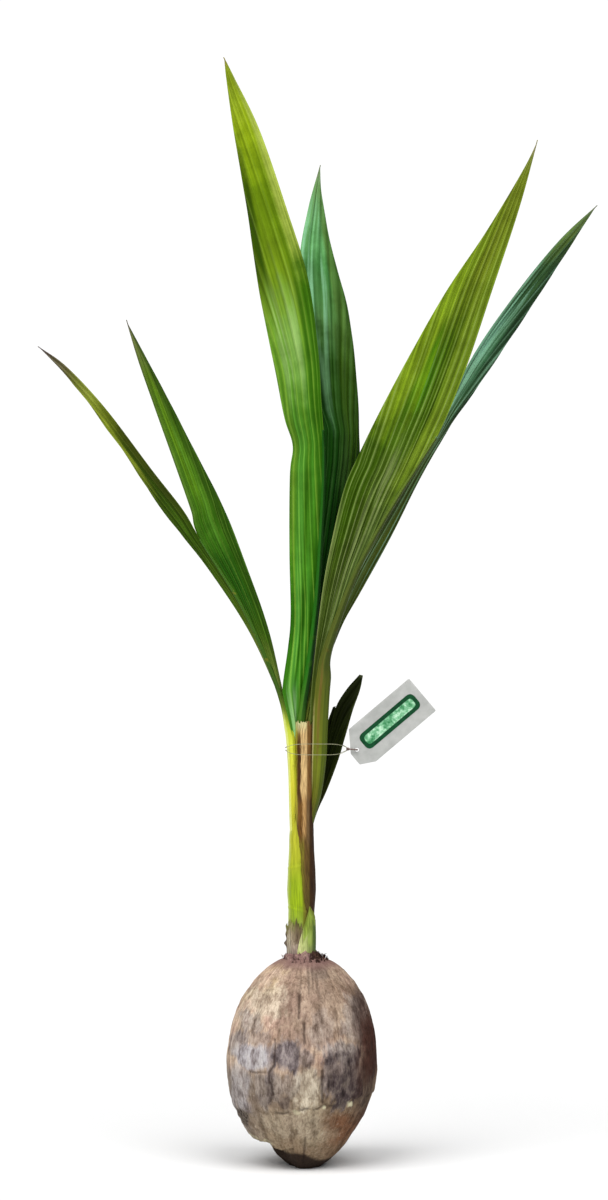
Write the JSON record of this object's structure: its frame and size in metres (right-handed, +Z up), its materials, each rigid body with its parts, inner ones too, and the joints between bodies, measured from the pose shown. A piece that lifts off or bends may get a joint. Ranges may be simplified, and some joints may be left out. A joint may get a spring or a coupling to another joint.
{
  "type": "sprouted coconut palm seedling",
  "caption": "Young dwarf coconut palm growing from its husked nut, with a short stem, split pleated leaves on stalks and a plain hang tag.",
  "frame": {"origin": "on the flat underside of the nut, on the ground, below the nut's middle", "axes": "+Z up along the nut and stem, +X to the right seen from the front, where the tag hangs, and +Y to the back"},
  "size_m": [0.564, 0.2313, 1.0994],
  "materials": {
    "husk": "weathered dry coconut husk, brown with grey and dark patches",
    "torn_husk": "dark torn husk fibre",
    "stem": "smooth fresh yellow-green stem",
    "dry_sheath": "dry fibrous brown leaf sheath",
    "papery_scale": "grey papery scale, frayed",
    "green_scale": "smooth green scale with a pale edge",
    "leaf_stalk": "smooth fresh yellow to olive leaf stalk",
    "leaf": "glossy pleated green palm leaf",
    "small_leaf": "dark green leaf",
    "tag": "plain pale grey card-like plastic, with a plain green printed bar",
    "thread": "thin twisted thread"
  },
  "bodies": {
    "root": {"nut_husk": "husk", "husk_collar": "torn_husk", "stem": "stem", "brown_sheath": "dry_sheath", "papery_scale": "papery_scale", "green_scale": "green_scale", "left_leaf_stalk": "leaf_stalk", "centre_leaf_stalk": "leaf_stalk", "right_leaf_stalk": "leaf_stalk", "left_outer_lobe": "leaf", "left_inner_lobe": "leaf", "centre_left_lobe": "leaf", "centre_right_lobe": "leaf", "right_near_lobe": "leaf", "right_far_lobe": "leaf", "small_leaf": "small_leaf", "small_leaf_half": "small_leaf", "tag": "tag", "thread_upper": "thread", "thread_lower": "thread", "thread_end": "thread"}
  },
  "joints": []
}
